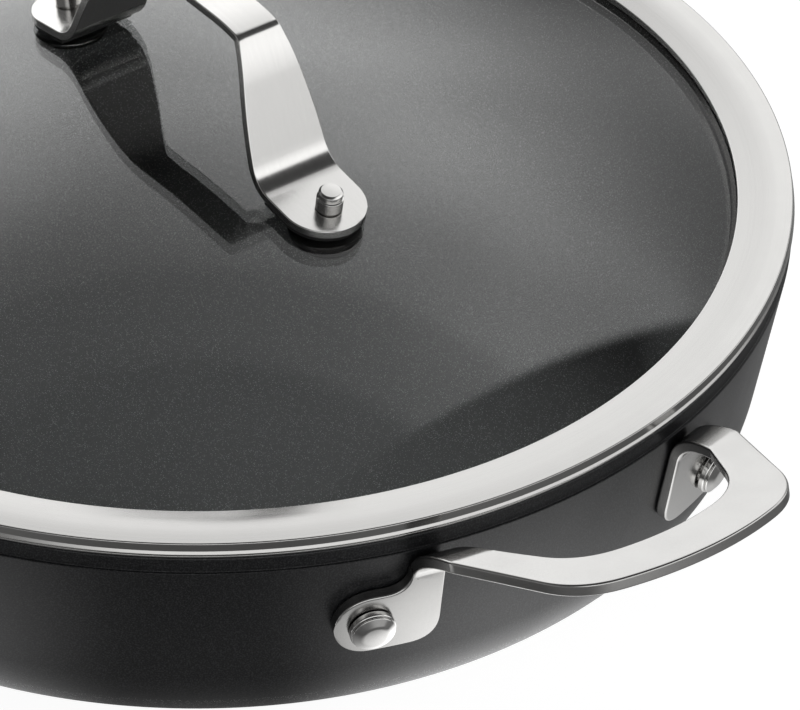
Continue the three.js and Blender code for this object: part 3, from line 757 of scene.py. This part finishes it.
def foot_pad():
    """A tongue of sheet as wide as the foot, round at its tip, with a slightly rounded edge."""
    half = STRAP_FOOT_WIDTH / 2 - PAD_INSET
    heel = STRAP_FOOT_BEND - STRAP_FOOT
    tip = arc(Vector((-STRAP_TIP_SETBACK, 0, 0)), half, -math.pi / 2, math.pi / 2, PAD_TIP_STEPS)
    outline = [Vector((heel, -half, 0))] + tip + [Vector((heel, half, 0))]
    made = bmesh.new()
    below = made.faces.new([made.verts.new((p + Vector((0, 0, SEAT_GAP))) * MM) for p in outline])
    raised = bmesh.ops.extrude_face_region(made, geom=[below])["geom"]
    lifted = [v for v in raised if isinstance(v, bmesh.types.BMVert)]
    bmesh.ops.translate(made, verts=lifted, vec=(0, 0, PAD * MM))
    rims = [e for e in made.edges if abs(e.verts[0].co.z - e.verts[1].co.z) < LEVEL_WITHIN * MM]
    bmesh.ops.bevel(
        made, geom=rims, offset=PAD_BEVEL * MM, segments=PAD_BEVEL_STEPS, profile=0.5, affect="EDGES",
    )
    return made


def silicone_finish():
    """Matt black with a fine grain."""
    finish, tree, shader = surface_of("silicone", Specular_IOR_Level=0.3)
    grain = noise(tree, wire(tree, "TexCoord").outputs["Object"], scale=900, detail=3)
    tree.links.new(mixed(tree, grain, SILICONE, SILICONE_GRAIN), shader.inputs["Base Color"])
    tree.links.new(graded(tree, grain, NOISE_RANGE, SILICONE_ROUGHNESS), shader.inputs["Roughness"])
    return finish


silicone = silicone_finish()
for side, turn in stud_turns.items():
    clamped = on_glass(turn)
    washer = shank_ring(WASHER_RADIUS, washer_top, WASHER)
    backing = shank_ring(BACKING_RADIUS, backing_top, BACKING)
    shown("pad_" + side, foot_pad(), [silicone], "lid", "lid_pad_" + side, clamped)
    shown("washer_" + side, washer, [silicone], "lid", "lid_washer_" + side, clamped)
    shown("backing_" + side, backing, [satin], "lid", "lid_backing_" + side, clamped)


# Lid handle: one strap of steel, cut narrow in the middle and wide at both ends, then folded four times.
# Its feet lie on the pads, square to the glass. It is polished along its length outside, and left rougher
# inside, where the fingers go, with a darker colour there that is painted shade under the arch.
STRAP_EDGE = 0.3
STRAP_TOP_WIDTH = 11.8
STRAP_RISE = 58.2
STRAP_TOP_HALF = 24.8
STRAP_ARCH = 10
STRAP_ARCH_DROP = 1
STRAP_FOLD_SETBACK = 1.2
STRAP_FOLD_BEND = 0.7
STRAP_SHOULDER = 11.5
STRAP_FLARE = 1.8
STRAP_HEEL_BEND = 5.5
STRAP_TOP_STEPS = 4
STRAP_BEND_STEPS = 12
STRAP_FOLD_STEPS = 8
STRAP_LEG_STEPS = 12
STRAP_FOOT_STEPS = 6
STRAP_TIP_STEPS = 24
STRAP_LINES = (0.02, 1, 0.02)


def strap_stations():
    """Half of the strap, from its middle to the tip of a foot."""
    out = Vector((math.cos(glass_slope), 0, -math.sin(glass_slope)))
    off = Vector((math.sin(glass_slope), 0, math.cos(glass_slope)))
    stud = Vector((stud_reach, 0, stud_height)) + off * (foot_bottom + STRAP / 2)
    top_height = ring_top + STRAP_RISE - STRAP / 2
    corner = Vector((STRAP_TOP_HALF, 0, top_height))
    heel = stud - out * STRAP_FOOT
    tip = stud - out * STRAP_TIP_SETBACK
    fold = corner - Vector((STRAP_FOLD_SETBACK, 0, STRAP_ARCH_DROP))
    top_middle = Vector((0, 0, top_height))
    arch_start = Vector((fold.x - STRAP_ARCH, 0, top_height))
    arch_end = Vector((fold.x, 0, top_height))
    shoulder_end = corner + (heel - corner).normalized() * STRAP_SHOULDER
    arch = bent(arch_start, (arch_start + arch_end) / 2, fold, STRAP_BEND_STEPS)
    slope = bent(fold, (corner + shoulder_end) / 2, shoulder_end, STRAP_BEND_STEPS)
    fold_in = fold + (arch[-2] - fold).normalized() * STRAP_FOLD_BEND
    fold_out = fold + (slope[1] - fold).normalized() * STRAP_FOLD_BEND
    heel_in = heel + (corner - heel).normalized() * STRAP_HEEL_BEND
    heel_out = heel + out * STRAP_HEEL_BEND
    path = [top_middle.lerp(arch_start, k / STRAP_TOP_STEPS) for k in range(STRAP_TOP_STEPS)]
    path += [p for p in arch if (p - fold).length > STRAP_FOLD_BEND]
    path += bent(fold_in, fold, fold_out, STRAP_FOLD_STEPS)
    path += [p for p in slope if (p - fold).length > STRAP_FOLD_BEND]
    path += [shoulder_end.lerp(heel_in, k / STRAP_LEG_STEPS) for k in range(1, STRAP_LEG_STEPS)]
    path += bent(heel_in, heel, heel_out, STRAP_BEND_STEPS)
    path += [heel_out.lerp(tip, k / STRAP_FOOT_STEPS) for k in range(1, STRAP_FOOT_STEPS + 1)]
    halves = []
    for p in path:
        down = min(max((fold.z - p.z) / (fold.z - heel.z), 0), 1)
        flare = 1 - (1 - down) ** STRAP_FLARE
        halves.append((STRAP_TOP_WIDTH + (STRAP_FOOT_WIDTH - STRAP_TOP_WIDTH) * flare) / 2)
    foot_half = STRAP_FOOT_WIDTH / 2
    for k in range(1, STRAP_TIP_STEPS + 1):
        turn = math.pi / 2 * (1 - LAST_TIP) * k / STRAP_TIP_STEPS
        path.append(tip + out * foot_half * math.sin(turn))
        halves.append(foot_half * math.cos(turn))
    sides = [Vector((0, half, 0)) for half in halves]
    return [row_across(p + side, p - side) for p, side in zip(path, sides)]


strap = lofted(both_halves(strap_stations(), Vector((-1, 1, 1))), STRAP, STRAP_EDGE)
bmesh.ops.recalc_face_normals(strap, faces=strap.faces)
strap.normal_update()
arch_shade_centre = Vector((0, 0, stud_height + foot_top + STRAP_HEEL_BEND)) * MM
# Faces inside the arch take a rougher copy of the strap's steel whose darker tone is painted shade.
for face in strap.faces:
    middle = face.calc_center_median()
    face.material_index = int(middle.z > arch_shade_centre.z and face.normal.dot(middle - arch_shade_centre) < 0)
strap_finishes = [
    brushed_finish("polished_strap", tone=0.64, roughness=0.2, along=STRAP_LINES),
    brushed_finish("dull_strap_painted_shade", tone=0.3, roughness=0.5, along=STRAP_LINES),
]
shown("strap", strap, strap_finishes, "lid", "lid_handle", turned_by(LID_TURN))


# Lid studs: slim turned rivets through strap, pad and glass, headed below the lower washers.
# Each shows a plain pin with a stepped tip and a small chamfer.
STUD_RADIUS = 3.25
STUD_HEIGHT = 5.2
STUD_TIP = 2.08
STUD_TIP_STEP = 0.35
STUD_TIP_ROUND = 0.15
STUD_CHAMFER = 0.5
STUD_HEAD_RADIUS = 5.5
STUD_HEAD = 1.6
STUD_HEAD_ROUND = 2
STUD_HEAD_EDGE_ROUND = 0.5

stud_foot = foot_top + SEAT_GAP
stud_end = stud_foot + STUD_HEIGHT
stud_head = backing_top - BACKING - SEAT_GAP
tip_start = stud_end - STUD_TIP
tip_radius = STUD_RADIUS - STUD_TIP_STEP
stud_profile = rounded([
    (0, stud_head - STUD_HEAD, 0),
    (STUD_HEAD_RADIUS * HEAD_FLAT_SHARE, stud_head - STUD_HEAD, STUD_HEAD_ROUND),
    (STUD_HEAD_RADIUS, stud_head - STUD_HEAD * HEAD_EDGE_SHARE, STUD_HEAD_EDGE_ROUND),
    (STUD_HEAD_RADIUS, stud_head, EDGE_ROUND),
    (SHANK_RADIUS, stud_head, 0),
    (SHANK_RADIUS, stud_foot, 0),
    (STUD_RADIUS, stud_foot, EDGE_ROUND),
    (STUD_RADIUS, tip_start, STUD_TIP_ROUND),
    (tip_radius, tip_start + STUD_TIP_STEP / 2, FINE_ROUND),
    (tip_radius, stud_end - STUD_CHAMFER, EDGE_ROUND),
    (tip_radius - STUD_CHAMFER, stud_end, EDGE_ROUND),
    (0, stud_end, 0),
])
for side, turn in stud_turns.items():
    lid_stud = turned(stud_profile, RIVET_STEPS)
    shown("stud_" + side, lid_stud, [polished], "lid", "lid_rivet_" + side, on_glass(turn))


# Studio: a pale floor that runs out of sight, a wide soft box behind the pan and a lower one on its right.
# The floor is white to the eye and keeps the pan's shadow. Where steel mirrors it, it glows with painted
# light and shade:
# bright close to the pan on the right, less so on the left, and dim in front and further out, a painted
# reflection of the cards of a photo set.
FLOOR_HALF = 4
FLOOR_COLOUR = (0.3, 0.3, 0.3, 1)
WHITE = (1, 1, 1, 1)
FLOOR_TO_EYE = 0.92
FLOOR_PAINTED_GLOW = 1.9
FLOOR_FRONT_SHARE = 0.1
FLOOR_LEFT_SHARE = 0.55
FLOOR_FAR_RIGHT_SHARE = 0.2
FLOOR_GAP_SHARE = 0.04
FLOOR_OUTER_SHARE = 0.14
BOX_LEVEL = 1.7
BOX_UNEVEN = (0.86, 1.12)
BOX_TOP_SLANT = 0.2
BOX_SIDE_SLANT = 1.2
BOX_SIDE_SHARE = 0.25
BOX_LOW_SHARE = 0.4
BOX_UPPER_SHARE = 0.8
BOX_TOP_SHARE = 0.45
SIDE_LEVEL = 1.5
SIDE_LOW_SHARE = 0.75
SIDE_LEFT_SHARE = 0.1
DUSK = 0.06


def added(tree, one, other):
    """The sum of values or sockets."""
    return wire(tree, "Math", {0: one, 1: other}).outputs[0]


def seen_by_eye(tree):
    """One where the eye sees a surface itself or straight through glass, else none."""
    path = wire(tree, "LightPath").outputs
    bounces = added(tree, path["Diffuse Depth"], path["Glossy Depth"])
    direct = wire(tree, "Math", {0: bounces, 1: 0.5}, operation="LESS_THAN").outputs[0]
    through = product(tree, path["Is Transmission Ray"], direct)
    return wire(tree, "Math", {0: path["Is Camera Ray"], 1: through}, operation="MAXIMUM").outputs[0]


def from_the_front(tree, way):
    """A direction or place as it lies to the pan's right front: right, away and up."""
    links = {"Vector": way, "Angle": -VIEW_TURN}
    turned_way = wire(tree, "VectorRotate", links, rotation_type="Z_AXIS").outputs[0]
    return wire(tree, "SeparateXYZ", {0: turned_way}).outputs


def painted_floor_glow(tree):
    """The floor's painted glow where it is mirrored, by its side of the pan and its distance from it."""
    place = wire(tree, "TexCoord").outputs["Object"]
    far = wire(tree, "VectorMath", {0: place}, operation="LENGTH").outputs["Value"]
    way = wire(tree, "VectorMath", {0: place}, operation="NORMALIZE").outputs[0]
    rightwards = from_the_front(tree, way)[0]
    on_right = product(
        tree,
        graded(tree, rightwards, (0.16, 0.52), (FLOOR_FRONT_SHARE, 1)),
        graded(tree, rightwards, (0.6, 1), (1, FLOOR_FAR_RIGHT_SHARE)),
    )
    on_left = graded(tree, rightwards, (-0.45, -0.1), (FLOOR_LEFT_SHARE, 0))
    close_by = graded(tree, far, (0.155, 0.195), (1, FLOOR_GAP_SHARE))
    further_out = graded(tree, far, (0.245, 0.285), (0, FLOOR_OUTER_SHARE))
    mirrored = wire(tree, "LightPath").outputs["Is Glossy Ray"]
    sides = added(tree, on_right, on_left)
    return product(tree, mirrored, sides, added(tree, close_by, further_out), FLOOR_PAINTED_GLOW)


def studio_light(tree):
    """How bright the studio is in each direction."""
    look = wire(tree, "TexCoord").outputs["Generated"]
    right, away, up = from_the_front(tree, look)
    slants = [
        wire(tree, "Math", {0: right, 1: -slant, 2: up}, operation="MULTIPLY_ADD").outputs[0]
        for slant in (BOX_TOP_SLANT, BOX_SIDE_SLANT)
    ]
    soft_box = product(
        tree,
        BOX_LEVEL,
        graded(tree, noise(tree, look, scale=3, detail=1), NOISE_RANGE, BOX_UNEVEN),
        graded(tree, slants[0], (0.54, 1.05), (1, 0)),
        graded(tree, up, (0.815, 0.835), (1, BOX_UPPER_SHARE)),
        graded(tree, up, (0.905, 0.92), (1, BOX_TOP_SHARE)),
        graded(tree, slants[1], (-0.15, 0.38), (BOX_SIDE_SHARE, 1)),
        graded(tree, up, (0, 0.2), (BOX_LOW_SHARE, 1)),
    )
    aside = wire(tree, "Math", {0: right, 1: away}, operation="DIVIDE").outputs[0]
    inside_box = product(
        tree,
        graded(tree, away, (0, 0.05), (0, 1)),
        graded(tree, aside, (0.75, 0.8), (1, 0)),
        graded(tree, aside, (-1.7, -1.2), (0, 1)),
    )
    low_box = product(
        tree,
        SIDE_LEVEL,
        graded(tree, up, (0, 0.35), (SIDE_LOW_SHARE, 1)),
        graded(tree, up, (0.5, 0.6), (1, 0)),
        graded(tree, right, (-0.6, -0.1), (SIDE_LEFT_SHARE, 1)),
    )
    boxes = wire(tree, "Mix", {0: inside_box, 2: low_box, 3: soft_box}).outputs[0]
    return added(tree, boxes, DUSK)


floor_corners = [(x * FLOOR_HALF, y * FLOOR_HALF, 0) for x, y in ((-1, -1), (1, -1), (1, 1), (-1, 1))]
floor_mesh = bpy.data.meshes.new("floor")
floor_mesh.from_pydata(floor_corners, [], [(0, 1, 2, 3)])
floor_finish, floor_tree, floor_shader = surface_of(
    "floor", Base_Color=FLOOR_COLOUR, Roughness=0.9, Specular_IOR_Level=0, Emission_Color=WHITE,
)
# The floor glows white to the eye, and where steel mirrors it, it glows with painted light and shade.
floor_links = {0: seen_by_eye(floor_tree), 1: FLOOR_TO_EYE, 2: painted_floor_glow(floor_tree)}
floor_glow = wire(floor_tree, "Math", floor_links, operation="MULTIPLY_ADD").outputs[0]
floor_tree.links.new(floor_glow, floor_shader.inputs["Emission Strength"])
floor_mesh.materials.append(floor_finish)
floor = bpy.data.objects.new("floor", floor_mesh)
bpy.context.scene.collection.objects.link(floor)

studio = bpy.data.worlds.new("studio")
bpy.context.scene.world = studio
studio.use_nodes = True
studio_tree = studio.node_tree
backdrop = studio_tree.nodes["Background"]
backdrop.inputs["Color"].default_value = WHITE
studio_links = {0: seen_by_eye(studio_tree), 2: studio_light(studio_tree), 3: 1.0}
studio_level = wire(studio_tree, "Mix", studio_links).outputs[0]
studio_tree.links.new(studio_level, backdrop.inputs["Strength"])
